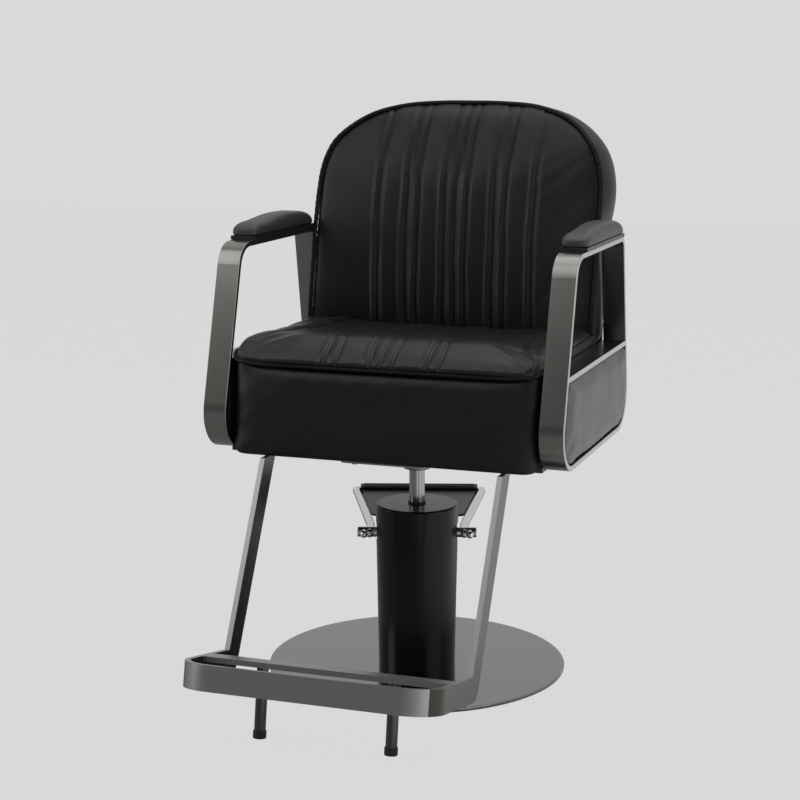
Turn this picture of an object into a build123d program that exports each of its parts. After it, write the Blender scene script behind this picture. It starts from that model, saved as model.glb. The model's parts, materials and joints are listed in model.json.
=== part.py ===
from build123d import *
import os
from math import atan, cos, radians, sin, tan

# Hydraulic salon styling chair.  Millimetres.  The middle of the base is the origin, +Z is up,
# the sitter faces -Y and the sitter's left hand is on +X.

os.makedirs("parts", exist_ok=True)

# ---------------------------------------------------------------- driving sizes
BAR_THICK = 9.0          # flat bar stock used for arms, rails, hangers and footrest
BAR_WIDE = 42.0

DISC_R = 270.0           # floor disc
PAD_H = 1.5
DISC_TOP = 7.0

PUMP_TURN = 18.0         # the pump is turned on the disc, so the pedal points off to one side
SLEEVE_R_LOW = 69.7
SLEEVE_R_HIGH = 73.9
SLEEVE_TOP = 245.0
SLEEVE_WALL = 2.5
CAP_R = 74.6
CAP_TOP = 303.0
CAP_WALL = 3.0
CAP_PLATE = 4.0
FLANGE_R = 66.0
FLANGE_TOP = 17.0
SCREW_RING_R = 55.0

PISTON_R = 14.0
PISTON_TOP = 366.0
JOURNAL_R = 11.0
JOURNAL_TOP = 410.0
BORE_R = 18.0
CYLINDER_R = 25.0
CYLINDER_TOP = 280.0
RUN = 0.05               # radial running clearance

SHAFT_Z = 248.0          # pedal shaft
SHAFT_R = 9.25
SHAFT_HALF = 108.0
PIN_X = 96.0              # domed pin in front of each shaft end
PIN_Y = -18.0
PIN_R = 6.8
ROD_R = 7.75
ROD_X_FRONT = 86.0
ROD_X_REAR = 121.0
ROD_Y_FRONT = -8.0
ROD_Y_KNEE = 40.0
ROD_Y_REAR = 238.0
ROD_RISE = 22.0
PLUNGER_Y = 48.0
PLUNGER_R = 7.0
CAM_R = 5.0
YOKE_THICK = 9.0

PLATE_LOW = 409.5        # seat mounting plate
RAIL_LOW = 417.5
RAIL_TOP = RAIL_LOW + BAR_THICK
BOARD_TOP = 438.5
SEAT_HALF = 280.5
CUSHION_LOW = 573.2

ARM_IN = 281.3           # side loops, measured outward from the middle
ARM_OUT = 323.3
LOOP_CORNERS = [(-228.0, 417.0), (-127.2, 776.0), (219.5, 776.0), (280.7, 417.0)]
LOOP_BENDS = [67.0, 50.0, 22.0, 72.0]
FRONT_SLOPE = 0.281
REAR_SLOPE = 0.1705
CROSS_LOW = 571.0
CROSS_TOP = 580.0
ARM_BASE_THICK = 7.0
PAD_IN = 278.0
PAD_OUT = 326.0
PAD_FRONT = -74.0
PAD_REAR = 204.0

BACK_HALF = 275.0
BACK_LEAN = 0.278        # set-back of the rear face per unit of height
BACK_HIGH = 1008.0
BACK_TOP = [(275, 838), (264.5, 908), (236, 953), (190, 985), (135, 1001), (65, 1007.2), (0, 1008)]

RING_TILT = 12.1         # the footrest ring rises towards the front
RING_HALF = 219.0
RING_Y = -450.0
RING_Z = 134.0
RING_FRONT = -108.4      # outer front face, in the ring's own plane
RING_BEND = 60.0
HANGER_SLOPE = 0.536
LEG_X = 113.7
LEG_SLOPE = 0.16
LEG_R = 9.5
TIP_R = 11.0
TIP_LOW = 6.0
TIP_TOP = 19.0


# ---------------------------------------------------------------- helpers
def pump_point(x, y, z):
    """A point given across the pump (x), out towards the pedal (y) and above the floor (z)."""
    turn = radians(PUMP_TURN)
    return (x * cos(turn) - y * sin(turn), x * sin(turn) + y * cos(turn), z)


def pump_level(z):
    """Horizontal sketch plane at height z, turned with the pump."""
    return Plane(origin=(0, 0, z), x_dir=pump_point(1, 0, 0), z_dir=(0, 0, 1))


def pump_slice(x):
    """Upright sketch plane across the pedal shaft: sketch x runs to the pedal, sketch y runs up."""
    return Plane(origin=pump_point(x, 0, 0), x_dir=pump_point(0, 1, 0), z_dir=pump_point(1, 0, 0))


def side_plane(side, near, far):
    """Upright plane for a piece that reaches from near to far outward on one side."""
    return Plane.YZ.offset(near if side > 0 else -far)


def front_face(z):
    """Y of the arm loop's front face at height z."""
    return LOOP_CORNERS[0][0] + FRONT_SLOPE * (z - LOOP_CORNERS[0][1])


def rear_face(z):
    """Y of the arm loop's rear face at height z."""
    return LOOP_CORNERS[3][0] - REAR_SLOPE * (z - LOOP_CORNERS[3][1])


def loop_sketch(plane, inset):
    """Outline of the bent arm bar, moved inward by inset (outward when negative)."""
    with BuildSketch(plane) as outline:
        Polygon(*LOOP_CORNERS, align=None)
        for (y, z), bend in zip(LOOP_CORNERS, LOOP_BENDS):
            fillet(outline.vertices().sort_by_distance((y, z, 0))[0], bend)
        if inset:
            offset(amount=-inset)
    return outline


def back_rear(z):
    """Y of the back's rear face at height z."""
    return 262.0 + BACK_LEAN * (z - 590.0)


def back_outline(half, low, high):
    """Front view outline of a back piece: straight sides and a wide curve over the top."""
    over = [(x * half / BACK_HALF, z - BACK_HIGH + high) for x, z in BACK_TOP]
    over += [(-x, z) for x, z in over[-2::-1]]
    with BuildSketch(Plane.XZ) as outline:
        with BuildLine():
            Spline(*over, tangents=((0, 1), (0, -1)))
            Polyline(over[-1], (-half, low), (half, low), over[0])
        make_face()
    return outline


def leaning_slab(behind, thick, low, high, x=0):
    """Side view of a flat piece that follows the back's lean, behind mm ahead of its rear face."""
    with BuildSketch(Plane.YZ.offset(x)) as profile:
        Polygon(
            (back_rear(low) - behind - thick, low),
            (back_rear(low) - behind, low),
            (back_rear(high) - behind, high),
            (back_rear(high) - behind - thick, high),
            align=None,
        )
    return profile


def ring_top(y):
    """Height of the footrest ring's top plane at Y = y."""
    return RING_Z - tan(radians(RING_TILT)) * (y - RING_Y)


def hanger_front(z):
    """Y of a hanger's front edge at height z."""
    return -219.0 - HANGER_SLOPE * (379.0 - z)


tilt = radians(RING_TILT)
RING_PLANE = Plane(origin=(0, RING_Y, RING_Z), x_dir=(1, 0, 0), z_dir=(0, sin(tilt), cos(tilt)))

# ================================================================ base
# rubber sheet glued under the disc
with BuildPart() as floor_pad:
    with BuildSketch(Plane.XY):
        Circle(DISC_R - 3)
    extrude(amount=PAD_H)
floor_pad.part.label = "floor_pad"
export_step(floor_pad.part, "parts/floor_pad.step")

# countersunk screws come up through the disc into the pump's flange
with BuildPart() as base_screws:
    with BuildSketch(pump_level(PAD_H + 0.2)):
        with PolarLocations(SCREW_RING_R, 6, start_angle=30):
            Circle(6)
    extrude(amount=3, taper=45)
    with BuildSketch(pump_level(PAD_H + 3.1)):
        with PolarLocations(SCREW_RING_R, 6, start_angle=30):
            Circle(3)
    extrude(amount=10)
base_screws.part.label = "base_screws"
export_step(base_screws.part, "parts/base_screws.step")

with BuildPart() as base_disc:
    with BuildSketch(Plane.XY.offset(PAD_H)):
        Circle(DISC_R)
    extrude(amount=DISC_TOP - PAD_H)
    fillet(base_disc.edges().group_by(Axis.Z)[-1], 2)
    add(base_screws.part, mode=Mode.SUBTRACT)
base_disc.part.label = "base_disc"
export_step(base_disc.part, "parts/base_disc.step")

with BuildPart() as pump_flange:
    with BuildSketch(Plane.XY.offset(DISC_TOP)):
        Circle(FLANGE_R)
        Circle(CYLINDER_R + RUN, mode=Mode.SUBTRACT)
    extrude(amount=FLANGE_TOP - DISC_TOP)
    chamfer(pump_flange.edges().group_by(Axis.Z)[-1].sort_by(SortBy.RADIUS)[-1], 1)
    add(base_screws.part, mode=Mode.SUBTRACT)
pump_flange.part.label = "pump_flange"
export_step(pump_flange.part, "parts/pump_flange.step")

with BuildPart() as pressure_cylinder:
    with BuildSketch(Plane.XY.offset(DISC_TOP)):
        Circle(CYLINDER_R)
    extrude(amount=CYLINDER_TOP - DISC_TOP)
    with BuildSketch(Plane.XY.offset(14)):
        Circle(BORE_R)
    extrude(amount=CYLINDER_TOP - 14, mode=Mode.SUBTRACT)
pressure_cylinder.part.label = "pressure_cylinder"
export_step(pressure_cylinder.part, "parts/pressure_cylinder.step")

# slots that let the pedal shaft out of both sides of the sleeve and cap
with BuildPart() as side_slots:
    with BuildSketch(pump_slice(-120)) as slot_shape:
        with Locations((0, SHAFT_Z + 3.5)):
            RectangleRounded(34, 37, 9)
    extrude(amount=240)

with BuildPart() as pump_sleeve:
    with BuildSketch(Plane.XZ):
        Polygon(
            (SLEEVE_R_LOW - SLEEVE_WALL, DISC_TOP),
            (SLEEVE_R_LOW, DISC_TOP),
            (SLEEVE_R_HIGH, SLEEVE_TOP - 0.2),
            (SLEEVE_R_HIGH - SLEEVE_WALL, SLEEVE_TOP - 0.2),
            align=None,
        )
    revolve(axis=Axis.Z)
    add(side_slots.part, mode=Mode.SUBTRACT)
pump_sleeve.part.label = "pump_sleeve"
export_step(pump_sleeve.part, "parts/pump_sleeve.step")

with BuildPart() as pump_cap:
    with BuildSketch(Plane.XY.offset(SLEEVE_TOP)):
        Circle(CAP_R)
    extrude(amount=CAP_TOP - SLEEVE_TOP)
    fillet(pump_cap.edges().group_by(Axis.Z)[-1], 4)
    with BuildSketch(Plane.XY.offset(SLEEVE_TOP)):
        Circle(CAP_R - CAP_WALL)
    extrude(amount=CAP_TOP - CAP_PLATE - SLEEVE_TOP, mode=Mode.SUBTRACT)
    with BuildSketch(Plane.XY.offset(CYLINDER_TOP + 1)):
        Circle(PISTON_R + 10)
    extrude(amount=CAP_TOP - CAP_PLATE - CYLINDER_TOP - 1)
    add(side_slots.part, mode=Mode.SUBTRACT)
    with BuildSketch(Plane.XY.offset(CYLINDER_TOP)):
        Circle(PISTON_R + 4.02)
    extrude(amount=CAP_TOP, mode=Mode.SUBTRACT)
pump_cap.part.label = "pump_cap"
export_step(pump_cap.part, "parts/pump_cap.step")

with BuildPart() as guide_bush:
    with BuildSketch(Plane.XY.offset(CYLINDER_TOP)):
        Circle(PISTON_R + 4)
        Circle(PISTON_R + RUN, mode=Mode.SUBTRACT)
    extrude(amount=CAP_TOP - CYLINDER_TOP)
guide_bush.part.label = "guide_bush"
export_step(guide_bush.part, "parts/guide_bush.step")

with BuildPart() as wiper_ring:
    with BuildSketch(Plane.XY.offset(CAP_TOP)):
        Circle(PISTON_R + 2.5)
        Circle(PISTON_R + RUN, mode=Mode.SUBTRACT)
    extrude(amount=3.2)
    fillet(wiper_ring.edges().group_by(Axis.Z)[-1].sort_by(SortBy.RADIUS)[-1], 1)
wiper_ring.part.label = "wiper_ring"
export_step(wiper_ring.part, "parts/wiper_ring.step")

# two uprights inside the sleeve carry the pedal shaft
with BuildPart() as shaft_brackets:
    with BuildSketch(pump_level(FLANGE_TOP)):
        with Locations((60, 0), (-60, 0)):
            Rectangle(8, 32)
    extrude(amount=SHAFT_Z + 16 - FLANGE_TOP)
    with BuildSketch(pump_slice(-70)):
        with Locations((0, SHAFT_Z)):
            Circle(12.02)
    extrude(amount=140, mode=Mode.SUBTRACT)
shaft_brackets.part.label = "shaft_brackets"
export_step(shaft_brackets.part, "parts/shaft_brackets.step")

with BuildPart() as shaft_bushes:
    for start in (55, -65):
        with BuildSketch(pump_slice(start)):
            with Locations((0, SHAFT_Z)):
                Circle(12)
                Circle(SHAFT_R + RUN, mode=Mode.SUBTRACT)
        extrude(amount=10)
shaft_bushes.part.label = "shaft_bushes"
export_step(shaft_bushes.part, "parts/shaft_bushes.step")

with BuildPart() as plunger_block:
    with BuildSketch(pump_level(FLANGE_TOP)):
        with Locations((0, PLUNGER_Y)):
            Circle(13)
    extrude(amount=200 - FLANGE_TOP)
    with BuildSketch(pump_level(85)):
        with Locations((0, PLUNGER_Y)):
            Circle(PLUNGER_R + RUN)
    extrude(amount=150, mode=Mode.SUBTRACT)
plunger_block.part.label = "plunger_block"
export_step(plunger_block.part, "parts/plunger_block.step")

# ================================================================ pump plunger
with BuildPart() as plunger:
    with BuildSketch(pump_level(115)):
        with Locations((0, PLUNGER_Y)):
            Circle(PLUNGER_R)
    extrude(amount=SHAFT_Z - CAM_R - 4.5 - 115)
    with BuildSketch(pump_level(SHAFT_Z - CAM_R - 4.5)):
        with Locations((0, PLUNGER_Y)):
            Circle(9)
    extrude(amount=4)
plunger.part.label = "plunger"
export_step(plunger.part, "parts/plunger.step")

# ================================================================ pedal
# a ring round the cylinder rocks with the two stub shafts and presses the plunger
with BuildPart() as rocker_yoke:
    with BuildSketch(pump_level(SHAFT_Z - YOKE_THICK / 2)):
        Circle(42)
        with Locations((0, 41)):
            Rectangle(16, 8)
        Circle(34, mode=Mode.SUBTRACT)
    extrude(amount=YOKE_THICK)
    with BuildSketch(pump_slice(-8)):
        with Locations((PLUNGER_Y, SHAFT_Z)):
            Circle(CAM_R)
    extrude(amount=16)
rocker_yoke.part.label = "rocker_yoke"
export_step(rocker_yoke.part, "parts/rocker_yoke.step")

# the two rods and the bar behind them lie in one plane that rises gently away from the pump
rise = atan(ROD_RISE / (ROD_Y_REAR + 23.0))
splay = (ROD_X_REAR - ROD_X_FRONT) / (ROD_Y_REAR - ROD_Y_KNEE)
ROD_PLANE = Plane(
    origin=pump_point(0, 0, SHAFT_Z),
    x_dir=pump_point(1, 0, 0),
    z_dir=pump_point(0, -sin(rise), cos(rise)),
)


def rod_level(y):
    """Height of the rods' own plane at y behind the shaft."""
    return SHAFT_Z + y * tan(rise)


def rod_across(y):
    """Half the spacing of the two rods at y behind their bend."""
    return ROD_X_FRONT + splay * (y - ROD_Y_KNEE)


with BuildPart() as pedal_rods:
    for side in (1, -1):
        tip, knee, heel = [
            Vector(*pump_point(side * x, y, rod_level(y)))
            for x, y in ((ROD_X_FRONT, ROD_Y_FRONT), (ROD_X_FRONT, ROD_Y_KNEE), (ROD_X_REAR, ROD_Y_REAR))
        ]
        for start, end in ((tip, knee), (knee, heel)):
            run = end - start
            with BuildSketch(Plane(origin=start, z_dir=run)):
                Circle(ROD_R)
            extrude(amount=run.length)
        with Locations(tip, knee, heel):
            Sphere(ROD_R)
pedal_rods.part.label = "pedal_rods"
export_step(pedal_rods.part, "parts/pedal_rods.step")

with BuildPart() as pedal_bar:
    reach = ROD_X_REAR - 2
    with BuildSketch(
        Plane(
            origin=pump_point(-reach, ROD_Y_REAR, rod_level(ROD_Y_REAR)),
            x_dir=pump_point(0, 1, 0),
            z_dir=pump_point(1, 0, 0),
        )
    ):
        Circle(ROD_R)
    extrude(amount=2 * reach)
    add(pedal_rods.part, mode=Mode.SUBTRACT)
pedal_bar.part.label = "pedal_bar"
export_step(pedal_bar.part, "parts/pedal_bar.step")

with BuildPart() as stub_shafts:
    for start in (41, -SHAFT_HALF):
        with BuildSketch(pump_slice(start)):
            with Locations((0, SHAFT_Z)):
                Circle(SHAFT_R)
        extrude(amount=SHAFT_HALF - 41)
    chamfer(stub_shafts.edges().filter_by(GeomType.CIRCLE).sort_by_distance((0, 0, SHAFT_Z))[-2:], 1)
    for side in (1, -1):
        with BuildSketch(Plane(origin=pump_point(side * PIN_X, 0, SHAFT_Z), z_dir=pump_point(0, -1, 0))):
            Circle(PIN_R)
        extrude(amount=-PIN_Y)
        with Locations(pump_point(side * PIN_X, PIN_Y, SHAFT_Z)):
            Sphere(PIN_R)
    add(rocker_yoke.part, mode=Mode.SUBTRACT)
    add(pedal_rods.part, mode=Mode.SUBTRACT)
stub_shafts.part.label = "stub_shafts"
export_step(stub_shafts.part, "parts/stub_shafts.step")

plate_front = 84.0
plate_rear = ROD_Y_REAR - ROD_R - 0.3
with BuildPart() as pedal_plate:
    with BuildSketch(ROD_PLANE.offset(1)) as plate_shape:
        Polygon(
            (-rod_across(plate_front) + ROD_R + 0.6, plate_front),
            (rod_across(plate_front) - ROD_R - 0.6, plate_front),
            (rod_across(plate_rear) - ROD_R - 0.6, plate_rear),
            (-rod_across(plate_rear) + ROD_R + 0.6, plate_rear),
            align=None,
        )
        fillet(plate_shape.vertices().group_by(Axis.Y)[0], 10)
    extrude(amount=4)
pedal_plate.part.label = "pedal_plate"
export_step(pedal_plate.part, "parts/pedal_plate.step")

# ribbed rubber tread lying on the rear bar
with BuildPart() as pedal_tread:
    with BuildSketch(ROD_PLANE.offset(ROD_R + 0.1)):
        with Locations((0, ROD_Y_REAR)):
            RectangleRounded(226, 22, 6)
    extrude(amount=3)
    with BuildSketch(ROD_PLANE.offset(ROD_R + 3.1)):
        with GridLocations(0, 6, 1, 3):
            with Locations((0, ROD_Y_REAR)):
                Rectangle(212, 3)
    extrude(amount=1.5)
pedal_tread.part.label = "pedal_tread"
export_step(pedal_tread.part, "parts/pedal_tread.step")

# ================================================================ lifting piston
with BuildPart() as piston:
    with BuildSketch(Plane.XY.offset(30)):
        Circle(8)
    extrude(amount=18)
    with BuildSketch(Plane.XY.offset(48)):
        Circle(PISTON_R)
    extrude(amount=PISTON_TOP - 48)
    with BuildSketch(Plane.XY.offset(PISTON_TOP)):
        Circle(JOURNAL_R)
    extrude(amount=JOURNAL_TOP - PISTON_TOP)
    with BuildSketch(Plane.XY.offset(385)):
        Circle(4.02)
    extrude(amount=JOURNAL_TOP - 385, mode=Mode.SUBTRACT)
piston.part.label = "piston"
export_step(piston.part, "parts/piston.step")

with BuildPart() as piston_head:
    with BuildSketch(Plane.XY.offset(30)):
        Circle(BORE_R - RUN)
        Circle(8.02, mode=Mode.SUBTRACT)
    extrude(amount=17.9)
piston_head.part.label = "piston_head"
export_step(piston_head.part, "parts/piston_head.step")

with BuildPart() as thrust_washer:
    with BuildSketch(Plane.XY.offset(PISTON_TOP)):
        Circle(18)
        Circle(JOURNAL_R + RUN, mode=Mode.SUBTRACT)
    extrude(amount=1.5)
thrust_washer.part.label = "thrust_washer"
export_step(thrust_washer.part, "parts/thrust_washer.step")

with BuildPart() as retaining_washer:
    with BuildSketch(Plane.XY.offset(JOURNAL_TOP)):
        Circle(15)
        Circle(4.1, mode=Mode.SUBTRACT)
    extrude(amount=2)
retaining_washer.part.label = "retaining_washer"
export_step(retaining_washer.part, "parts/retaining_washer.step")

with BuildPart() as retaining_screw:
    with BuildSketch(Plane.XY.offset(387)):
        Circle(4)
    extrude(amount=JOURNAL_TOP + 2 - 387)
    with BuildSketch(Plane.XY.offset(JOURNAL_TOP + 2)):
        RegularPolygon(7, 6)
    extrude(amount=4.5)
retaining_screw.part.label = "retaining_screw"
export_step(retaining_screw.part, "parts/retaining_screw.step")

# ================================================================ seat socket, plate and rails
socket_low = PISTON_TOP + 1.8
with BuildPart() as socket_bush:
    with BuildSketch(Plane.XY.offset(socket_low)):
        Circle(JOURNAL_R + 3)
        Circle(JOURNAL_R + RUN, mode=Mode.SUBTRACT)
    extrude(amount=PLATE_LOW - socket_low)
socket_bush.part.label = "socket_bush"
export_step(socket_bush.part, "parts/socket_bush.step")

with BuildPart() as seat_socket:
    with BuildSketch(Plane.XY.offset(socket_low)):
        Circle(26)
    extrude(amount=PLATE_LOW - socket_low)
    with BuildSketch(Plane.XY.offset(PLATE_LOW - 6)):
        Circle(44)
    extrude(amount=6)
    chamfer(seat_socket.edges().group_by(Axis.Z)[0], 2)
    with BuildSketch(Plane.XY.offset(socket_low)):
        Circle(JOURNAL_R + 3.02)
    extrude(amount=60, mode=Mode.SUBTRACT)
seat_socket.part.label = "seat_socket"
export_step(seat_socket.part, "parts/seat_socket.step")

RAIL_FRONT_Y = -159.0
RAIL_REAR_Y = 203.0
bolt_spots = [(x, y) for x in (-58, 58) for y in (RAIL_FRONT_Y, RAIL_REAR_Y)]
with BuildPart() as mount_bolts:
    with BuildSketch(Plane.XY.offset(PLATE_LOW - 5)):
        with Locations(*bolt_spots):
            RegularPolygon(7.5, 6)
    extrude(amount=5)
    with BuildSketch(Plane.XY.offset(PLATE_LOW)):
        with Locations(*bolt_spots):
            Circle(4)
    extrude(amount=RAIL_TOP - PLATE_LOW - 0.5)
mount_bolts.part.label = "mount_bolts"
export_step(mount_bolts.part, "parts/mount_bolts.step")

with BuildPart() as mount_plate:
    with BuildSketch(Plane.XY.offset(PLATE_LOW)) as plate_shape:
        with Locations((0, (RAIL_FRONT_Y + RAIL_REAR_Y) / 2)):
            RectangleRounded(160, RAIL_REAR_Y - RAIL_FRONT_Y + BAR_WIDE, 10)
        Circle(16.5, mode=Mode.SUBTRACT)
        with Locations(*bolt_spots):
            Circle(4.2, mode=Mode.SUBTRACT)
    extrude(amount=RAIL_LOW - PLATE_LOW)
mount_plate.part.label = "mount_plate"
export_step(mount_plate.part, "parts/mount_plate.step")

for name, middle in (("front", RAIL_FRONT_Y), ("rear", RAIL_REAR_Y)):
    with BuildPart() as cross_rail:
        with BuildSketch(Plane.XY.offset(RAIL_LOW)):
            with Locations((0, middle)):
                Rectangle(2 * ARM_IN, BAR_WIDE)
            with Locations(*bolt_spots):
                Circle(4.2, mode=Mode.SUBTRACT)
        extrude(amount=BAR_THICK)
    cross_rail.part.label = f"cross_rail_{name}"
    export_step(cross_rail.part, f"parts/cross_rail_{name}.step")

# ================================================================ seat
with BuildPart() as seat_board:
    with BuildSketch(Plane.XY.offset(RAIL_TOP)):
        with Locations((0, 2)):
            RectangleRounded(2 * SEAT_HALF, 364, 12)
    extrude(amount=BOARD_TOP - RAIL_TOP)
seat_board.part.label = "seat_board"
export_step(seat_board.part, "parts/seat_board.step")

with BuildPart() as seat_front_panel:
    with BuildSketch(Plane.YZ.offset(-SEAT_HALF)):
        Polygon((-200, 412), (-186, CUSHION_LOW - 0.3), (-170, CUSHION_LOW - 0.3), (-184, 412), align=None)
    extrude(amount=2 * SEAT_HALF)
    front_low = seat_front_panel.edges().filter_by(Axis.X).sort_by(Axis.Y)[0]
    ends = seat_front_panel.faces().sort_by(Axis.Y)[0].edges().filter_by(Axis.X, reverse=True)
    fillet([front_low] + list(ends), 12)
seat_front_panel.part.label = "seat_front_panel"
export_step(seat_front_panel.part, "parts/seat_front_panel.step")

with BuildPart() as seat_core:
    with BuildSketch(Plane.XY.offset(BOARD_TOP + 0.3)):
        with Locations((0, 8.5)):
            core = Rectangle(2 * SEAT_HALF - 2, 355)
        fillet(core.vertices().group_by(Axis.Y)[0], 24)
    extrude(amount=CUSHION_LOW - BOARD_TOP - 0.6)
seat_core.part.label = "seat_core"
export_step(seat_core.part, "parts/seat_core.step")

# soft top with a rolled front edge and a slightly hollow middle
with BuildPart() as seat_cushion:
    with BuildSketch(Plane.YZ.offset(-SEAT_HALF)):
        with BuildLine():
            Spline(
                (-187, CUSHION_LOW),
                (-194, 588),
                (-178, 606),
                (-132, 616),
                (-60, 609),
                (40, 602),
                (130, 600),
                (176, 598),
            )
            Polyline((176, 598), (176, CUSHION_LOW), (-187, CUSHION_LOW))
        make_face()
    extrude(amount=2 * SEAT_HALF)
    fillet(seat_cushion.edges().filter_by(GeomType.BSPLINE), 10)
seat_cushion.part.label = "seat_cushion"
export_step(seat_cushion.part, "parts/seat_cushion.step")

# ================================================================ back
lean = atan(BACK_LEAN)
with BuildPart() as back_bolts:
    for x in (-120, 120):
        for z in (650, 840):
            spot = (x, back_rear(z) - 17, z)
            with BuildSketch(Plane(origin=spot, x_dir=(1, 0, 0), z_dir=(0, -cos(lean), sin(lean)))):
                Circle(4)
            extrude(amount=17)
back_bolts.part.label = "back_bolts"
export_step(back_bolts.part, "parts/back_bolts.step")

for name, side in (("left", 1), ("right", -1)):
    bar_side = leaning_slab(17, 8, RAIL_TOP, 900, side * 120)
    with BuildPart() as upright:
        extrude(bar_side.sketch, amount=20, both=True)
        add(back_bolts.part, mode=Mode.SUBTRACT)
    upright.part.label = f"back_upright_{name}"
    export_step(upright.part, f"parts/back_upright_{name}.step")

board_side = leaning_slab(25.3, 10, 600, 960)
board_front = back_outline(252, 600, 960)
with BuildPart() as back_board:
    extrude(board_side.sketch, amount=260, both=True)
    extrude(board_front.sketch, amount=600, both=True, mode=Mode.INTERSECT)
    add(back_bolts.part, mode=Mode.SUBTRACT)
back_board.part.label = "back_board"
export_step(back_board.part, "parts/back_board.step")

panel_side = leaning_slab(0, 16.5, 432, 975)
panel_front = back_outline(268, 432, 975)
with BuildPart() as back_rear_panel:
    extrude(panel_side.sketch, amount=270, both=True)
    extrude(panel_front.sketch, amount=600, both=True, mode=Mode.INTERSECT)
    low_edges = back_rear_panel.edges().filter_by(Axis.X).group_by(Axis.Z)[0]
    fillet(low_edges.sort_by(Axis.Y)[-1], 6)
back_rear_panel.part.label = "back_rear_panel"
export_step(back_rear_panel.part, "parts/back_rear_panel.step")

# the cushion wraps over the top of the board to the rear panel
with BuildPart() as back_cushion:
    with BuildSketch(Plane.YZ.offset(-BACK_HALF)):
        with BuildLine():
            Spline(
                (187, 589),
                (192, 650),
                (206, 740),
                (219, 800),
                (232, 860),
                (246, 911),
                (262, 950),
                (292, 986),
                (334, 1005),
                (368, 988),
            )
            Polyline(
                (368, 988),
                (back_rear(976), 976),
                (back_rear(976) - 36, 976),
                (back_rear(589) - 36, 589),
                (187, 589),
            )
        make_face()
    extrude(amount=2 * BACK_HALF)
    cushion_front = back_outline(BACK_HALF, 589, BACK_HIGH)
    extrude(cushion_front.sketch, amount=600, both=True, mode=Mode.INTERSECT)
back_cushion.part.label = "back_cushion"
export_step(back_cushion.part, "parts/back_cushion.step")

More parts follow.
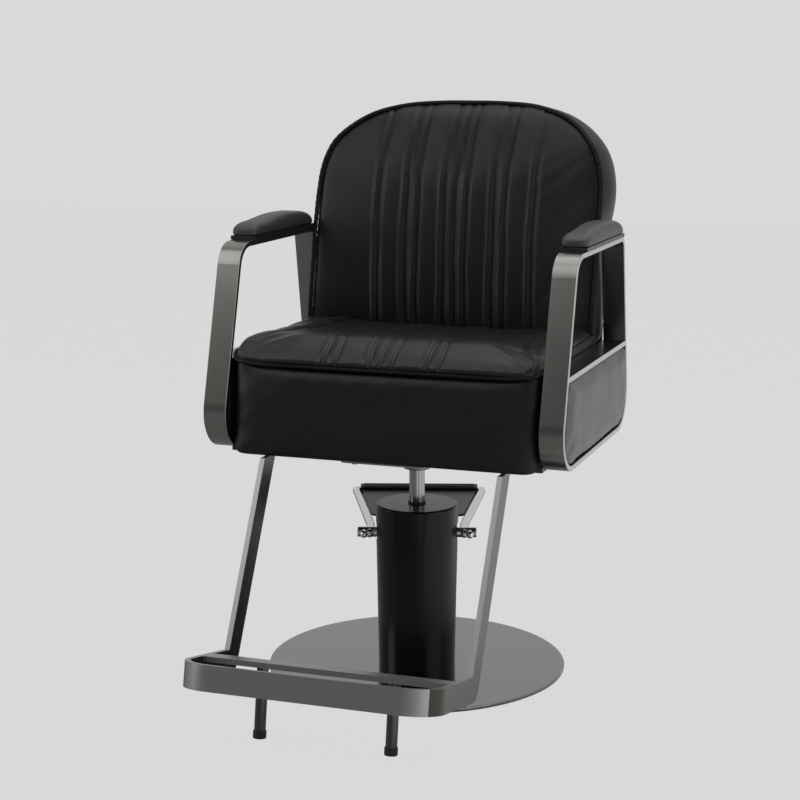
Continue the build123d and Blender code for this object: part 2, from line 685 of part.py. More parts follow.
for name, side in (("left", 1), ("right", -1)):
    # bent flat bar that makes the arm, the two posts and the foot of each side
    plane = side_plane(side, ARM_IN, ARM_OUT)
    outer = loop_sketch(plane, 0)
    inner = loop_sketch(plane, BAR_THICK)
    with BuildPart() as side_frame:
        extrude(outer.sketch, amount=BAR_WIDE)
        extrude(inner.sketch, amount=BAR_WIDE, mode=Mode.SUBTRACT)
        with BuildSketch(Plane.XY.offset(760)):
            with Locations((side * 302, -20), (side * 302, 150)):
                Circle(3.1)
        extrude(amount=20, mode=Mode.SUBTRACT)
        long_edges = side_frame.edges().filter_by(GeomType.LINE).filter_by(Axis.X, reverse=True)
        chamfer(long_edges.group_by(Axis.X)[0] + long_edges.group_by(Axis.X)[-1], 0.6)
    side_frame.part.label = f"{name}_side_frame"
    export_step(side_frame.part, f"parts/{name}_side_frame.step")

    with BuildPart() as crossbar:
        with BuildSketch(plane):
            Polygon(
                (front_face(CROSS_LOW) + 9.35, CROSS_LOW),
                (front_face(CROSS_TOP) + 9.35, CROSS_TOP),
                (rear_face(CROSS_TOP) - 9.15, CROSS_TOP),
                (rear_face(CROSS_LOW) - 9.15, CROSS_LOW),
                align=None,
            )
        extrude(amount=BAR_WIDE)
    crossbar.part.label = f"{name}_crossbar"
    export_step(crossbar.part, f"parts/{name}_crossbar.step")

    # upholstered infill below the crossbar: a board on the inside, a pad on the outside
    for node, near, far, gap in (("panel_board", 283.5, 292.5, 0.5), ("side_panel", 292.8, 325.5, 0.5)):
        infill_plane = side_plane(side, near, far)
        infill = loop_sketch(infill_plane, BAR_THICK + gap)
        with BuildPart() as panel:
            extrude(infill.sketch, amount=far - near)
            with BuildSketch(infill_plane):
                with Locations((0, CROSS_LOW - 0.5 + 200)):
                    Rectangle(800, 400)
            extrude(amount=far - near, mode=Mode.SUBTRACT)
            if node == "side_panel":
                outside = panel.faces().sort_by(Axis.X)[-1 if side > 0 else 0]
                fillet(outside.edges(), 6)
        panel.part.label = f"{name}_{node}"
        export_step(panel.part, f"parts/{name}_{node}.step")

    # black arm plate that lies on the top bar and follows it over the rear bend
    base_plane = side_plane(side, PAD_IN, PAD_OUT)
    plate_outer = loop_sketch(base_plane, -ARM_BASE_THICK)
    plate_inner = loop_sketch(base_plane, -0.05)
    with BuildPart() as arm_base:
        extrude(plate_outer.sketch, amount=PAD_OUT - PAD_IN)
        extrude(plate_inner.sketch, amount=PAD_OUT - PAD_IN, mode=Mode.SUBTRACT)
        with BuildSketch(base_plane):
            with Locations(((PAD_FRONT + PAD_REAR) / 2, 818)):
                Rectangle(PAD_REAR - PAD_FRONT, 100)
        extrude(amount=PAD_OUT - PAD_IN, mode=Mode.INTERSECT)
        with BuildSketch(Plane.XY.offset(775)):
            with Locations((side * 302, -20), (side * 302, 150)):
                Circle(3.05)
        extrude(amount=6, mode=Mode.SUBTRACT)
    arm_base.part.label = f"{name}_arm_base"
    export_step(arm_base.part, f"parts/{name}_arm_base.step")

    under_pad = loop_sketch(base_plane, -ARM_BASE_THICK - 0.2)
    with BuildPart() as arm_pad:
        with BuildSketch(base_plane):
            with BuildLine():
                Spline(
                    (-76, 778),
                    (-76, 794),
                    (-66, 801),
                    (-36, 806),
                    (50, 812),
                    (120, 812),
                    (172, 807),
                    (199, 796),
                    (206, 776),
                )
                Line((206, 776), (-76, 778))
            make_face()
        extrude(amount=PAD_OUT - PAD_IN)
        fillet(arm_pad.edges().filter_by(GeomType.BSPLINE), 11)
        extrude(under_pad.sketch, amount=PAD_OUT - PAD_IN, mode=Mode.SUBTRACT)
        with BuildSketch(Plane.XY.offset(783.2)):
            with Locations((side * (PAD_IN + PAD_OUT) / 2, (PAD_FRONT + PAD_REAR) / 2)):
                RectangleRounded(PAD_OUT - PAD_IN, PAD_REAR - PAD_FRONT + 3, 14)
        extrude(amount=60, both=True, mode=Mode.INTERSECT)
    arm_pad.part.label = f"{name}_arm_pad"
    export_step(arm_pad.part, f"parts/{name}_arm_pad.step")

with BuildPart() as arm_screws:
    with BuildSketch(Plane.XY.offset(763.8)):
        with Locations(*[(x, y) for x in (302, -302) for y in (-20, 150)]):
            Circle(5.5)
    extrude(amount=3.2)
    with BuildSketch(Plane.XY.offset(767)):
        with Locations(*[(x, y) for x in (302, -302) for y in (-20, 150)]):
            Circle(3)
    extrude(amount=13.5)
arm_screws.part.label = "arm_screws"
export_step(arm_screws.part, "parts/arm_screws.step")

# ================================================================ hangers and footrest
elbow_y = (hanger_front(RING_Z) + HANGER_SLOPE * tan(tilt) * RING_Y) / (1 + HANGER_SLOPE * tan(tilt))
elbow_z = ring_top(elbow_y)
step = BAR_WIDE * (1 + HANGER_SLOPE**2) ** 0.5
ring_drop = BAR_WIDE / cos(tilt)
heel_z = 60.0
for _ in range(20):
    heel_z = ring_top(hanger_front(heel_z) + step) - ring_drop
heel_y = hanger_front(heel_z) + step

for name, side in (("left", 1), ("right", -1)):
    with BuildPart() as hanger:
        with BuildSketch(side_plane(side, RING_HALF - BAR_THICK, RING_HALF)) as shape:
            Polygon(
                (hanger_front(411.5), 411.5),
                (elbow_y, elbow_z),
                (elbow_y - BAR_WIDE * sin(tilt), elbow_z - BAR_WIDE * cos(tilt)),
                (heel_y, heel_z),
                (hanger_front(RAIL_LOW) + step, RAIL_LOW),
                (RAIL_FRONT_Y - BAR_WIDE / 2, RAIL_LOW),
                (RAIL_FRONT_Y - BAR_WIDE / 2, 411.5),
                align=None,
            )
            fillet(shape.vertices().sort_by_distance((heel_y, heel_z, 0))[0], 26)
        extrude(amount=BAR_THICK)
    hanger.part.label = f"hanger_{name}"
    export_step(hanger.part, f"parts/hanger_{name}.step")

side_end = (elbow_y - RING_Y) / cos(tilt)


def ring_outline(inset):
    """Plan of the footrest ring: a U open towards the pump, moved inward by inset."""
    low = RING_FRONT + inset
    with BuildSketch(RING_PLANE) as outline:
        with Locations((0, (low + side_end) / 2)):
            Rectangle(2 * (RING_HALF - inset), side_end - low)
        fillet(outline.vertices().group_by(Axis.Y)[0], RING_BEND - inset)
    return outline


ring_outer = ring_outline(0)
ring_inner = ring_outline(BAR_THICK)
with BuildPart() as footrest_frame:
    extrude(ring_outer.sketch, amount=-BAR_WIDE)
    extrude(ring_inner.sketch, amount=-BAR_WIDE, mode=Mode.SUBTRACT)
footrest_frame.part.label = "footrest_frame"
export_step(footrest_frame.part, "parts/footrest_frame.step")

with BuildPart() as footrest_back_bar:
    with BuildSketch(RING_PLANE):
        with Locations((0, 8.2)):
            Rectangle(2 * (RING_HALF - BAR_THICK), BAR_WIDE)
    extrude(amount=-BAR_THICK)
footrest_back_bar.part.label = "footrest_back_bar"
export_step(footrest_back_bar.part, "parts/footrest_back_bar.step")

leg_up = Vector(0, LEG_SLOPE, 1).normalized()
feet = [Vector(x, -459.5 + LEG_SLOPE * TIP_LOW, TIP_LOW) for x in (LEG_X, -LEG_X)]
with BuildPart() as leg_tips:
    for foot in feet:
        with BuildSketch(Plane(origin=foot, z_dir=leg_up)):
            Circle(TIP_R)
        extrude(amount=TIP_TOP - TIP_LOW)
    fillet(leg_tips.edges().group_by(Axis.Z)[0], 2)
    for foot in feet:
        with BuildSketch(Plane(origin=foot + leg_up * 4, z_dir=leg_up)):
            Circle(LEG_R)
        extrude(amount=TIP_TOP, mode=Mode.SUBTRACT)
leg_tips.part.label = "leg_tips"
export_step(leg_tips.part, "parts/leg_tips.step")

for name, foot in zip(("left", "right"), feet):
    with BuildPart() as footrest_leg:
        with BuildSketch(Plane(origin=foot + leg_up * 4, z_dir=leg_up)):
            Circle(LEG_R)
        extrude(amount=115)
        add(footrest_back_bar.part, mode=Mode.SUBTRACT)
    footrest_leg.part.label = f"footrest_leg_{name}"
    export_step(footrest_leg.part, f"parts/footrest_leg_{name}.step")
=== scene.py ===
import math

import bmesh
import bpy
import numpy as np
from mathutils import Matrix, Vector
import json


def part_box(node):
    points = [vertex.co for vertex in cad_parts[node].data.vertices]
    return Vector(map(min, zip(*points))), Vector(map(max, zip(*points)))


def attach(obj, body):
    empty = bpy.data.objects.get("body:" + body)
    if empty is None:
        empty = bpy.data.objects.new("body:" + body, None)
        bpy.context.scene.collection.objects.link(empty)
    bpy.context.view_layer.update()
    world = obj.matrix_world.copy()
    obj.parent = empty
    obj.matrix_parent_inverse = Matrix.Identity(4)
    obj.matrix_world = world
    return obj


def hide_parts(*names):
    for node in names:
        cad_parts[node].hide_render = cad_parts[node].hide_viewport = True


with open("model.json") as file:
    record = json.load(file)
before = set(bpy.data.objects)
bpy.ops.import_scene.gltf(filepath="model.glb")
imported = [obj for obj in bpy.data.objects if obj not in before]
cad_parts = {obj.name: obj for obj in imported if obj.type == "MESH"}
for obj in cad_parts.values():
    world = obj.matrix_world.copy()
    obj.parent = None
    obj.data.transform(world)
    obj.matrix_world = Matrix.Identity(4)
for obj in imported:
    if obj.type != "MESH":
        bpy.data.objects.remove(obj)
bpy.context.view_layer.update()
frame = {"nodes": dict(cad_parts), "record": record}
scene = bpy.context.scene
NODES = frame["nodes"]
MM = 0.001

# sockets of the colour Mix node
MIX_FACTOR, MIX_FIRST, MIX_SECOND, MIX_RESULT = 0, 6, 7, 2


# ---------------------------------------------------------------- node material helpers
def material(name):
    mat = bpy.data.materials.new(name)
    mat.use_nodes = True
    tree = mat.node_tree
    bsdf = next(n for n in tree.nodes if n.type == "BSDF_PRINCIPLED")
    return mat, tree, bsdf


def node(tree, kind, **values):
    """New node; each value goes to the input of that name, or else to the node's own setting."""
    made = tree.nodes.new(kind)
    for key, value in values.items():
        if key in made.inputs:
            made.inputs[key].default_value = value
        else:
            setattr(made, key, value)
    return made


def coords(tree, scale=(1, 1, 1)):
    """Object coordinates, stretched per axis."""
    tex = tree.nodes.new("ShaderNodeTexCoord")
    mapping = node(tree, "ShaderNodeMapping", Scale=scale)
    tree.links.new(tex.outputs["Object"], mapping.inputs["Vector"])
    return mapping.outputs["Vector"]


def noise(tree, vector, scale, detail=2.0, rough=0.5):
    tex = node(tree, "ShaderNodeTexNoise", Scale=scale, Detail=detail, Roughness=rough)
    tree.links.new(vector, tex.inputs["Vector"])
    return tex.outputs["Fac"]


def span(tree, value, low, high):
    """Maps 0..1 to low..high."""
    ranged = tree.nodes.new("ShaderNodeMapRange")
    ranged.inputs["To Min"].default_value = low
    ranged.inputs["To Max"].default_value = high
    tree.links.new(value, ranged.inputs["Value"])
    return ranged.outputs["Result"]


def gradual(tree, value, start, end, low, high):
    """Eases from low, where the value is start, to high, where it is end."""
    ranged = tree.nodes.new("ShaderNodeMapRange")
    ranged.interpolation_type = "SMOOTHSTEP"
    for socket, number in (("From Min", start), ("From Max", end), ("To Min", low), ("To Max", high)):
        ranged.inputs[socket].default_value = number
    tree.links.new(value, ranged.inputs["Value"])
    return ranged.outputs["Result"]


def bump(tree, height, strength, distance, below=None):
    made = node(tree, "ShaderNodeBump", Strength=strength, Distance=distance)
    tree.links.new(height, made.inputs["Height"])
    if below is not None:
        tree.links.new(below, made.inputs["Normal"])
    return made.outputs["Normal"]


def math_node(tree, operation, *values):
    made = tree.nodes.new("ShaderNodeMath")
    made.operation = operation
    for socket, value in zip(made.inputs, values):
        if isinstance(value, (int, float)):
            socket.default_value = value
        else:
            tree.links.new(value, socket)
    return made.outputs[0]


def two_tone(tree, factor, first, second):
    """Colour between first and second, which are RGB tuples or outputs of other nodes."""
    mix = tree.nodes.new("ShaderNodeMix")
    mix.data_type = "RGBA"
    tree.links.new(factor, mix.inputs[MIX_FACTOR])
    for socket, colour in ((MIX_FIRST, first), (MIX_SECOND, second)):
        if isinstance(colour, tuple):
            mix.inputs[socket].default_value = (*colour, 1)
        else:
            tree.links.new(colour, mix.inputs[socket])
    return mix.outputs[MIX_RESULT]


def mottled(tree, factor, colour, dark, light):
    """One colour that drifts between dark and light times itself."""
    return two_tone(tree, factor, tuple(c * dark for c in colour), tuple(c * light for c in colour))


# ---------------------------------------------------------------- families of materials
# noise scales, in features per metre
VINYL_PATCHES, VINYL_WEAR, VINYL_CREASES, VINYL_GRAIN, VINYL_CELLS = 9.0, 35.0, 22.0, 900.0, 620.0
STITCH_UNEVEN = 60.0
BAR_CLOUDS, BAR_BRUSHING = 9.0, 12.0
PLAIN_PATCHES = 30.0

BAR_ROUGH, EDGE_TILT = 0.25, 0.75
STITCH_PITCH, STITCH_JITTER = 3.9 * MM, 4.0 * MM


def metal(name, colour, rough, grain=(1, 1, 1), grain_scale=300.0, spread=0.08, bump_mm=0.02):
    """Turned or polished metal; grain stretches its fine lines along an axis."""
    mat, tree, bsdf = material(name)
    bsdf.inputs["Base Color"].default_value = (*colour, 1)
    bsdf.inputs["Metallic"].default_value = 1.0
    lines = noise(tree, coords(tree, grain), grain_scale, 3.0)
    tree.links.new(span(tree, lines, rough - spread / 2, rough + spread), bsdf.inputs["Roughness"])
    tree.links.new(bump(tree, lines, 0.25, bump_mm * MM), bsdf.inputs["Normal"])
    return mat


def bar_metal(name, faces, edges, edge_axis_x):
    """Flat bar: dark brushed faces and brighter polished edges, which face along X or, if not
    edge_axis_x, away from it."""
    mat, tree, bsdf = material(name)
    geo = tree.nodes.new("ShaderNodeNewGeometry")
    turned = tree.nodes.new("ShaderNodeVectorTransform")
    turned.vector_type = "NORMAL"
    turned.convert_from = "WORLD"
    turned.convert_to = "OBJECT"
    tree.links.new(geo.outputs["True Normal"], turned.inputs[0])
    split = tree.nodes.new("ShaderNodeSeparateXYZ")
    tree.links.new(turned.outputs[0], split.inputs[0])
    edge = math_node(tree, "GREATER_THAN", math_node(tree, "ABSOLUTE", split.outputs["X"]), EDGE_TILT)
    if not edge_axis_x:
        edge = math_node(tree, "SUBTRACT", 1.0, edge)
    cloud = noise(tree, coords(tree, (1.6, 1, 0.5)), BAR_CLOUDS)
    face_tone = mottled(tree, cloud, faces, 0.7, 1.3)
    tree.links.new(two_tone(tree, edge, face_tone, edges), bsdf.inputs["Base Color"])
    bsdf.inputs["Metallic"].default_value = 1.0
    if edge_axis_x:
        brushing = noise(tree, coords(tree, (30, 1, 1)), BAR_BRUSHING)
        roughness = span(tree, brushing, BAR_ROUGH - 0.02, BAR_ROUGH + 0.03)
    else:
        roughness = span(tree, edge, BAR_ROUGH, BAR_ROUGH + 0.16)
    tree.links.new(roughness, bsdf.inputs["Roughness"])
    return mat


def puckers(tree, where):
    """Gathers beside the seams, one for each stitch, where the mesh's seam mask is."""
    mask = node(tree, "ShaderNodeAttribute", attribute_name="seam_mask")
    along = node(tree, "ShaderNodeAttribute", attribute_name="seam_along")
    jitter = math_node(tree, "MULTIPLY", noise(tree, where, STITCH_UNEVEN), STITCH_JITTER)
    run = math_node(tree, "ADD", along.outputs["Fac"], jitter)
    wave = math_node(tree, "SINE", math_node(tree, "MULTIPLY", run, 2 * math.pi / STITCH_PITCH))
    return math_node(tree, "MULTIPLY", wave, mask.outputs["Fac"])


def vinyl(name, colour, rough, stitched, shine):
    """Upholstery vinyl with a fine grain, soft creases and, where stitched, gathers at the seams."""
    mat, tree, bsdf = material(name)
    where = coords(tree)
    patches = noise(tree, where, VINYL_PATCHES, 3.0)
    tree.links.new(mottled(tree, patches, colour, 0.85, 1.2), bsdf.inputs["Base Color"])
    wear = noise(tree, where, VINYL_WEAR, 3.0)
    tree.links.new(span(tree, wear, rough - 0.05, rough + 0.09), bsdf.inputs["Roughness"])
    bsdf.inputs["Specular IOR Level"].default_value = shine
    grain = noise(tree, where, VINYL_GRAIN, 3.0, 0.6)
    cells = node(tree, "ShaderNodeTexVoronoi", Scale=VINYL_CELLS)
    tree.links.new(where, cells.inputs["Vector"])
    crease = noise(tree, coords(tree, (1, 1, 1.6)), VINYL_CREASES, 3.0)
    normal = bump(tree, grain, 0.12, 0.1 * MM)
    normal = bump(tree, cells.outputs["Distance"], 0.1, 0.12 * MM, normal)
    normal = bump(tree, crease, 0.1, 2.0 * MM, normal)
    if stitched:
        normal = bump(tree, puckers(tree, where), 0.55, 0.5 * MM, normal)
    tree.links.new(normal, bsdf.inputs["Normal"])
    return mat


def plain(name, colour, rough, coat=0.0, grain=400.0, depth=0.05, strength=0.1, shine=0.5):
    """Paint, rubber, wood or foam: slightly uneven colour and gloss over a fine grain, depth in mm."""
    mat, tree, bsdf = material(name)
    where = coords(tree)
    patches = noise(tree, where, PLAIN_PATCHES, 3.0)
    tree.links.new(mottled(tree, patches, colour, 0.9, 1.12), bsdf.inputs["Base Color"])
    bsdf.inputs["Specular IOR Level"].default_value = shine
    bsdf.inputs["Coat Weight"].default_value = coat
    bsdf.inputs["Coat Roughness"].default_value = 0.04
    fine = noise(tree, where, grain, 3.0)
    tree.links.new(span(tree, fine, rough * 0.9, rough * 1.15), bsdf.inputs["Roughness"])
    tree.links.new(bump(tree, fine, strength, depth * MM), bsdf.inputs["Normal"])
    return mat


# ---------------------------------------------------------------- materials
VINYL = vinyl("black_vinyl", (0.0048, 0.0048, 0.0051), 0.44, False, 0.27)
VINYL_STITCHED = vinyl("black_vinyl_stitched", (0.0056, 0.0055, 0.006), 0.43, True, 0.36)
BACK_VINYL = vinyl("black_vinyl_back", (0.0044, 0.0044, 0.0048), 0.43, True, 0.26)
ARM_VINYL = vinyl("arm_vinyl", (0.029, 0.0272, 0.0252), 0.48, False, 0.5)
# painted sheen: the side panels are the same black vinyl as the rest, given a colour about six times
# lighter to stand for their sheen at a grazing angle
SHEEN_PAINTED_SIDE_VINYL = vinyl("side_vinyl_painted_sheen", (0.03, 0.03, 0.0305), 0.42, False, 0.9)
PIPING = plain("piping_vinyl", (0.004, 0.004, 0.0044), 0.48, grain=700.0, strength=0.04, shine=0.16)

LOOP_METAL = bar_metal("loop_gunmetal", (0.225, 0.218, 0.204), (0.4, 0.39, 0.38), True)
HANGER_METAL = bar_metal("hanger_gunmetal", (0.064, 0.062, 0.056), (0.33, 0.33, 0.325), False)
DISC_METAL = metal(
    "disc_polished", (0.2, 0.195, 0.196), 0.1, grain_scale=500.0, spread=0.03, bump_mm=0.002)
CHROME = metal("chrome", (0.62, 0.63, 0.64), 0.12, grain_scale=120.0, spread=0.05, bump_mm=0.004)
ROD_CHROME = metal(
    "piston_chrome", (0.36, 0.36, 0.36), 0.16,
    grain=(1, 1, 0.1), grain_scale=160.0, spread=0.1, bump_mm=0.01)
LEG_METAL = metal(
    "leg_gunmetal", (0.1, 0.098, 0.1), 0.26, grain_scale=200.0, spread=0.02, bump_mm=0.0005)
STEEL = metal("machined_steel", (0.3, 0.3, 0.31), 0.32, grain=(1, 1, 8), grain_scale=260.0, spread=0.1)
SCREWS = metal("zinc_screws", (0.5, 0.5, 0.49), 0.3, spread=0.1)
BRASS = metal("bush_brass", (0.6, 0.42, 0.18), 0.3, grain=(1, 1, 8), grain_scale=260.0, spread=0.1)

GLOSS = plain(
    "pump_enamel", (0.0035, 0.0035, 0.0038), 0.28,
    coat=0.06, grain=40.0, depth=0.02, strength=0.04, shine=0.2)
SATIN = plain("satin_black", (0.009, 0.009, 0.0095), 0.38, grain=600.0)
LINING = plain("black_lining", (0.007, 0.007, 0.0072), 0.6, grain=800.0)
RUBBER = plain("rubber", (0.010, 0.010, 0.010), 0.6, grain=900.0, depth=0.1, strength=0.2)
WOOD = plain("plywood", (0.38, 0.26, 0.15), 0.6, grain=60.0, depth=0.1, strength=0.2)
FOAM = plain("foam", (0.5, 0.45, 0.3), 0.85, grain=700.0, depth=0.4, strength=0.5)

# ---------------------------------------------------------------- finishes of the CAD nodes
FINISH = {
    "rubber": RUBBER,
    "polished_disc": DISC_METAL,
    "screw_steel": SCREWS,
    "pump_black": GLOSS,
    "pump_steel": STEEL,
    "bush_brass": BRASS,
    "bright_chrome": CHROME,
    "plate_black": SATIN,
    "dark_bar": LOOP_METAL,
    "rail_black": SATIN,
    "black_leather": VINYL,
    "foam": FOAM,
    "ply": WOOD,
}
SLOT_OF = {row["node"]: row["material_slot"] for row in frame["record"]["subparts"]}

# nodes that look different from the rest of their slot
SPECIAL = {
    "hanger_left": HANGER_METAL,
    "hanger_right": HANGER_METAL,
    "footrest_frame": HANGER_METAL,
    "footrest_back_bar": HANGER_METAL,
    "footrest_leg_left": LEG_METAL,
    "footrest_leg_right": LEG_METAL,
    "piston": ROD_CHROME,
    "seat_core": LINING,
    "seat_board": LINING,
    "left_panel_board": LINING,
    "right_panel_board": LINING,
}

# width in mm of the fine bevel that catches light along the edges of these nodes
BEVELLED = {
    0.3: ("pump_sleeve", "pump_cap"),
    0.6: ("pedal_tread",),
    0.7: ("left_side_frame", "right_side_frame", "left_crossbar", "right_crossbar",
          "hanger_left", "hanger_right", "footrest_frame", "footrest_back_bar"),
    0.8: ("pedal_plate", "seat_socket", "mount_plate"),
    1.2: ("left_arm_base", "right_arm_base"),
}
BEVEL_WIDTH = {name: width for width, names in BEVELLED.items() for name in names}
BEVEL_ANGLE = math.radians(40)


def shade_smooth(data):
    for poly in data.polygons:
        poly.use_smooth = True


for name, obj in NODES.items():
    obj.data.materials.clear()
    obj.data.materials.append(SPECIAL.get(name, FINISH[SLOT_OF[name]]))
    shade_smooth(obj.data)
    if name in BEVEL_WIDTH:
        mod = obj.modifiers.new("bevel", "BEVEL")
        mod.width = BEVEL_WIDTH[name] * MM
        mod.segments = 2
        mod.limit_method = "ANGLE"
        mod.angle_limit = BEVEL_ANGLE
        mod.harden_normals = False


# ---------------------------------------------------------------- mesh helpers
def mesh_object(name, verts, faces):
    """Object from points in metres, with doubled points merged and faces turned outward."""
    data = bpy.data.meshes.new(name)
    data.from_pydata([tuple(v) for v in verts], [], faces)
    data.update()
    bm = bmesh.new()
    bm.from_mesh(data)
    bmesh.ops.remove_doubles(bm, verts=bm.verts, dist=1e-6)
    bmesh.ops.recalc_face_normals(bm, faces=bm.faces)
    bm.to_mesh(data)
    bm.free()
    obj = bpy.data.objects.new(name, data)
    scene.collection.objects.link(obj)
    return obj


def read(obj, what="co"):
    values = np.zeros(len(obj.data.vertices) * 3)
    obj.data.vertices.foreach_get(what, values)
    return values.reshape(-1, 3)


def write(obj, co):
    obj.data.vertices.foreach_set("co", np.asarray(co, float).ravel())
    obj.data.update()


def bake(obj):
    """Apply every modifier."""
    deps = bpy.context.evaluated_depsgraph_get()
    data = bpy.data.meshes.new_from_object(obj.evaluated_get(deps))
    old = obj.data
    obj.modifiers.clear()
    obj.data = data
    bpy.data.meshes.remove(old)


def remesh(obj, voxel_mm):
    mod = obj.modifiers.new("remesh", "REMESH")
    mod.mode = "VOXEL"
    mod.voxel_size = voxel_mm * MM
    bake(obj)


def smooth(obj, times):
    mod = obj.modifiers.new("smooth", "SMOOTH")
    mod.factor = 0.5
    mod.iterations = times
    bake(obj)


def subdivide(obj):
    mod = obj.modifiers.new("sub", "SUBSURF")
    mod.levels = mod.render_levels = 1
    bake(obj)


# how the cover stretches and bends while it is inflated
COVER = {
    "quality": 5,
    "mass": 0.3,
    "tension_stiffness": 20,
    "compression_stiffness": 18,
    "shear_stiffness": 8,
    "bending_stiffness": 0.6,
    "use_pressure": True,
}


def pin(obj, weight):
    """Vertex group that holds the cloth, in steps of a tenth."""
    group = obj.vertex_groups.new(name="pin")
    tenths = np.round(np.clip(weight, 0, 1), 1)
    for level in np.unique(tenths):
        if level > 0:
            group.add(np.nonzero(tenths == level)[0].tolist(), float(level), "REPLACE")


def swell(obj, cap_mm, hold, pressure, frames=20, settle=0):
    """Inflate the cover by cloth simulation; hold(points in mm) says how firmly each point is pinned,
    no point moves further than the cap, and settle smooths out small wrinkles afterwards."""
    start = read(obj)
    pin(obj, hold(start / MM))
    mod = obj.modifiers.new("cloth", "CLOTH")
    for key, value in COVER.items():
        setattr(mod.settings, key, value)
    mod.settings.uniform_pressure_force = pressure
    mod.settings.vertex_group_mass = "pin"
    mod.settings.effector_weights.gravity = 0
    mod.collision_settings.use_collision = False
    mod.collision_settings.use_self_collision = False
    mod.point_cache.frame_start = 1
    mod.point_cache.frame_end = frames
    for tick in range(1, frames + 1):
        scene.frame_set(tick)
    bake(obj)
    scene.frame_set(1)
    moved = read(obj) - start
    size = np.maximum(np.linalg.norm(moved, axis=1), 1e-9)
    cap = cap_mm * MM
    write(obj, start + moved * (cap * np.tanh(size / cap) / size)[:, None])
    obj.vertex_groups.clear()
    if settle:
        smooth(obj, settle)


def dress(obj, mat, stands_for=()):
    """Vinyl piece of the seat's body: its material, body, slot and the CAD nodes it stands for."""
    obj.data.materials.clear()
    obj.data.materials.append(mat)
    shade_smooth(obj.data)
    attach(obj, "seat")
    if stands_for:
        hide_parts(*stands_for)


def attribute(obj, name, values):
    layer = obj.data.attributes.new(name, "FLOAT", "POINT")
    layer.data.foreach_set("value", np.asarray(values, np.float32))


# ---------------------------------------------------------------- curves and outlines, in mm
def step(x, a, b):
    """Eases from 0 at a to 1 at b."""
    t = np.clip((x - a) / (b - a), 0, 1)
    return t * t * (3 - 2 * t)


def curve_at(x, points):
    """Smooth curve through (x, y) points."""
    px, py = np.array(points, float).T
    slope = np.gradient(py, px)
    x = np.clip(x, px[0], px[-1])
    i = np.clip(np.searchsorted(px, x) - 1, 0, len(px) - 2)
    h = px[i + 1] - px[i]
    t = (x - px[i]) / h
    return (
        (2 * t**3 - 3 * t**2 + 1) * py[i]
        + (t**3 - 2 * t**2 + t) * h * slope[i]
        + (3 * t**2 - 2 * t**3) * py[i + 1]
        + (t**3 - t**2) * h * slope[i + 1]
    )


def unit(vectors):
    """Each row at length 1."""
    return vectors / np.maximum(np.linalg.norm(vectors, axis=-1), 1e-9)[..., None]


def run_length(points):
    """Distance along a line of points, from 0 at the first."""
    return np.r_[0, np.cumsum(np.linalg.norm(np.diff(points, axis=0), axis=1))]


ARC_POINTS = 14


def rounded(corners, radii, spacing):
    """Closed outline of straight runs and arcs through rounded corners, evenly spaced."""
    points = []
    for i, r in enumerate(radii):
        p = np.array(corners[i], float)
        a = unit(np.array(corners[i - 1], float) - p)
        b = unit(np.array(corners[(i + 1) % len(corners)], float) - p)
        half = math.acos(np.clip(a @ b, -1, 1)) / 2
        centre = p + unit(a + b) * r / math.sin(half)
        reach = r / math.tan(half)
        first, last = p + a * reach - centre, p + b * reach - centre
        a0, a1 = math.atan2(first[1], first[0]), math.atan2(last[1], last[0])
        turn = (a1 - a0 + math.pi) % (2 * math.pi) - math.pi
        for angle in np.linspace(a0, a0 + turn, ARC_POINTS):
            points.append(centre + r * np.array([math.cos(angle), math.sin(angle)]))
    points = np.array(points + [points[0]])
    length = run_length(points)
    at = np.linspace(0, length[-1], int(length[-1] / spacing) + 1)[:-1]
    return np.c_[np.interp(at, length, points[:, 0]), np.interp(at, length, points[:, 1])]


def rim_distance(u, v, rim):
    """Distance from each point to a closed outline, of which every third point is near enough."""
    best = np.full(len(u), np.inf)
    for rim_u, rim_v in rim[::3]:
        best = np.minimum(best, np.hypot(u - rim_u, v - rim_v))
    return best


def rim_hold(u, v, rim, reach):
    """1 at the rim, fading to 0 at the reach."""
    return np.clip(1 - rim_distance(u, v, rim) / reach, 0, 1)


def puff(u, v, rim, height, reach):
    """How far a padded face stands proud: 0 at its rim, rising to the height over about the reach."""
    return height * (1 - np.exp(-rim_distance(u, v, rim) / reach))


def open_run(rim, keep):
    """The kept points of a closed outline, in order, from one side of the gap to the other."""
    turned = np.roll(np.arange(len(rim)), -int(np.argmax(~keep)))
    return rim[turned[keep[turned]]]


# ---------------------------------------------------------------- cushions and welts
def skin(rows, around):
    """Faces over rows rings of around points each, with both ends closed."""
    faces = []
    for i in range(rows - 1):
        for j in range(around):
            k = (j + 1) % around
            faces.append((i * around + j, i * around + k, (i + 1) * around + k, (i + 1) * around + j))
    last = (rows - 1) * around
    faces.append(tuple(range(around)))
    faces.append(tuple(last + j for j in reversed(range(around))))
    return faces


def outward(mid, a, b):
    """Outward direction in space for each rim point: away from the middle of its own ring."""
    away = mid - mid.mean(axis=0)
    along = unit(b - a)
    return unit(away - (away * along).sum(axis=1)[:, None] * along)


INNERMOST = 0.02


def ring_solid(name, rim, rings, centre, face, rear, sides, bow):
    """Closed cushion in mm: rings of the rim shrink to the centre of the face and of the rear, and
    the sides between them bow outward. face(u, v) and rear(u, v) turn outline points into space."""
    centre = np.array(centre, float)
    shares = np.linspace(INNERMOST, 1, rings)
    front, behind = [], []
    for share in shares:
        u, v = (centre + (rim - centre) * share).T
        front.append(face(u, v))
        behind.append(rear(u, v))
    bow = np.reshape(bow, (-1, 1))
    flank = []
    for t in np.arange(1, sides) / sides:
        mid = front[-1] * (1 - t) + behind[-1] * t
        flank.append(mid + outward(mid, front[-1], behind[-1]) * bow * math.sin(math.pi * t))
    layers = front + flank + behind[::-1]
    return mesh_object(name, np.concatenate(layers) * MM, skin(len(layers), len(rim)))


WELT_SIDES = 10


